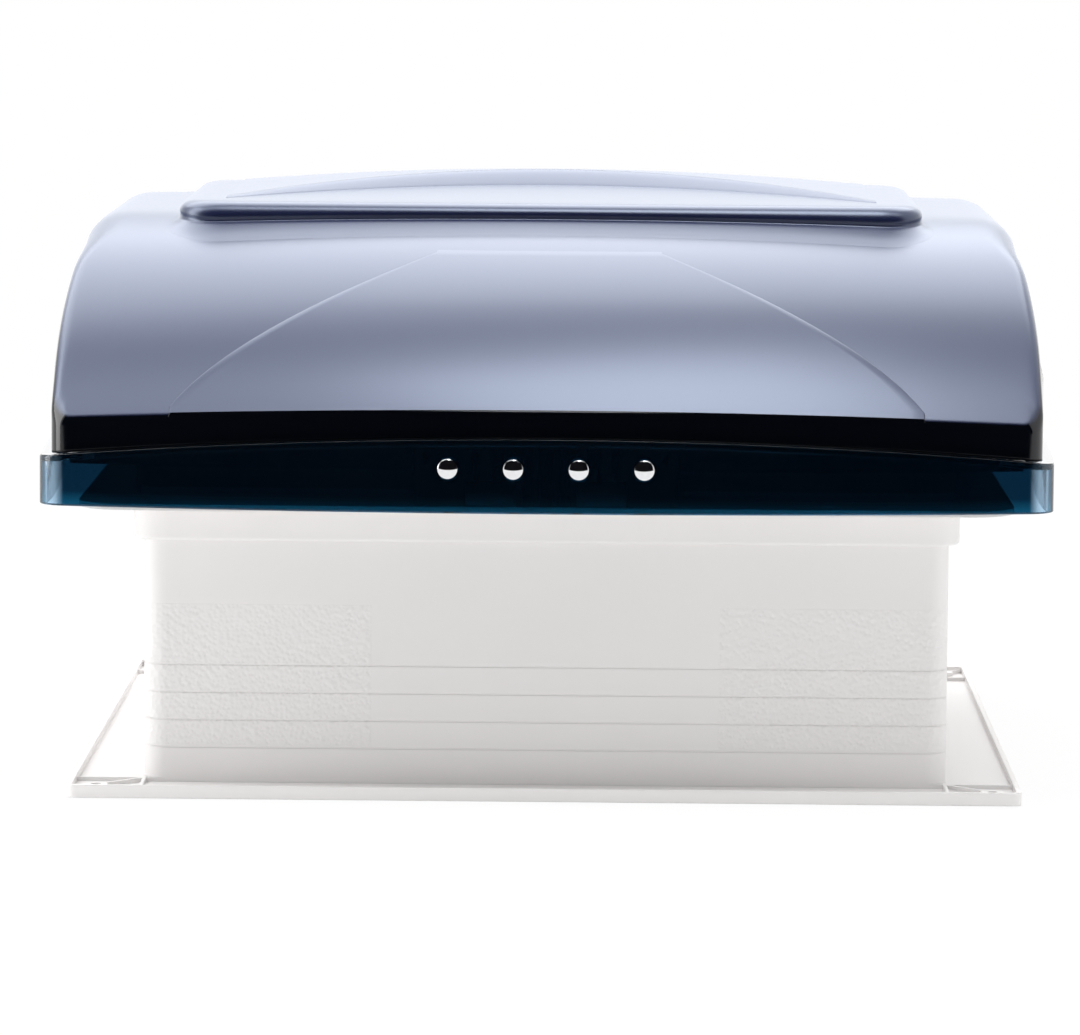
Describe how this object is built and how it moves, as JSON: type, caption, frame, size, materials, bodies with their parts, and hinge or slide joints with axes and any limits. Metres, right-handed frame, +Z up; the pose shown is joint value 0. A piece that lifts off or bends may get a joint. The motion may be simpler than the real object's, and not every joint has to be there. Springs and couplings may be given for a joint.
{
  "type": "caravan roof vent",
  "caption": "Square caravan roof vent with a tinted domed lid on a front hinge, a white roof frame and a deep trim-to-length ceiling frame.",
  "frame": {"origin": "centre of the ceiling flange's underside, between its four corner screw holes", "axes": "+Z up through the roof, -Y towards the hinge side that faces the reader, +X to that reader's right"},
  "size_m": [0.443, 0.4414, 0.255],
  "materials": {
    "tinted_hood": "satin moulded, smoked blue",
    "tinted_skirt": "polished, smoked blue, see-through",
    "white_asa": "moulded satin white",
    "white_abs": "moulded satin white",
    "white_liner": "vacuum-formed satin white",
    "black_nylon": "moulded",
    "seal_rubber": "matt",
    "aluminium": "anodised",
    "zinc_steel": "zinc plated",
    "chrome": "polished",
    "screen_fibre": "woven insect mesh"
  },
  "bodies": {
    "frame": {"ceiling_frame": "white_abs", "roof_frame": "white_asa", "kerb_seal": "seal_rubber", "hinge_base": "black_nylon", "hinge_base_screws": "zinc_steel", "hinge_pin": "zinc_steel", "stay_bracket_left": "black_nylon", "stay_bracket_right": "black_nylon", "pivot_bolt_left": "zinc_steel", "pivot_bolt_right": "zinc_steel", "catch_keeper_left": "black_nylon", "catch_keeper_right": "black_nylon", "screen_frame": "white_abs", "screen_mesh": "screen_fibre"},
    "lid": {"lid_hood": "tinted_hood", "lid_skirt": "tinted_skirt", "lid_liner": "white_liner", "hinge_block": "black_nylon", "hinge_screws": "chrome", "hinge_nuts": "zinc_steel", "liner_screws": "zinc_steel", "stay_rail_left": "aluminium", "stay_rail_right": "aluminium", "rail_screws": "zinc_steel", "grab_handle": "black_nylon", "handle_screws": "zinc_steel", "catch_screws": "zinc_steel"},
    "stay_left": {"stay_left": "aluminium"},
    "shoe_left": {"stay_shoe_left": "black_nylon"},
    "knob_left": {"knob_left": "black_nylon"},
    "catch_left": {"catch_left": "black_nylon"},
    "stay_right": {"stay_right": "aluminium"},
    "shoe_right": {"stay_shoe_right": "black_nylon"},
    "knob_right": {"knob_right": "black_nylon"},
    "catch_right": {"catch_right": "black_nylon"}
  },
  "joints": [
    {"name": "lid_hinge", "type": "hinge", "parent": "frame", "child": "lid", "pos_m": [0, -0.2135, 0.135], "axis": [1, 0, 0], "range_deg": [0, 50]},
    {"name": "stay_left_pivot", "type": "hinge", "parent": "frame", "child": "stay_left", "pos_m": [-0.156, -0.0435, 0.135], "axis": [1, 0, 0], "range_deg": [0, 100]},
    {"name": "shoe_left_pivot", "type": "hinge", "parent": "stay_left", "child": "shoe_left", "pos_m": [-0.16, 0.1265, 0.135], "axis": [1, 0, 0], "range_deg": [-50, 0]},
    {"name": "knob_left_turn", "type": "hinge", "parent": "frame", "child": "knob_left", "pos_m": [-0.147, -0.0435, 0.135], "axis": [-1, 0, 0], "range_deg": [0, 90]},
    {"name": "catch_left_turn", "type": "hinge", "parent": "lid", "child": "catch_left", "pos_m": [-0.095, 0.1635, 0.125], "axis": [0, 0, -1], "range_deg": [0, 90]},
    {"name": "stay_right_pivot", "type": "hinge", "parent": "frame", "child": "stay_right", "pos_m": [0.156, -0.0435, 0.135], "axis": [1, 0, 0], "range_deg": [0, 100]},
    {"name": "shoe_right_pivot", "type": "hinge", "parent": "stay_right", "child": "shoe_right", "pos_m": [0.16, 0.1265, 0.135], "axis": [1, 0, 0], "range_deg": [-50, 0]},
    {"name": "knob_right_turn", "type": "hinge", "parent": "frame", "child": "knob_right", "pos_m": [0.147, -0.0435, 0.135], "axis": [1, 0, 0], "range_deg": [0, 90]},
    {"name": "catch_right_turn", "type": "hinge", "parent": "lid", "child": "catch_right", "pos_m": [0.095, 0.1635, 0.125], "axis": [0, 0, 1], "range_deg": [0, 90]}
  ],
  "couplings": [
    {"joint": "stay_left_pivot", "follows": "lid_hinge", "ratio": 2},
    {"joint": "shoe_left_pivot", "follows": "lid_hinge", "ratio": -1},
    {"joint": "stay_right_pivot", "follows": "lid_hinge", "ratio": 2},
    {"joint": "shoe_right_pivot", "follows": "lid_hinge", "ratio": -1}
  ]
}
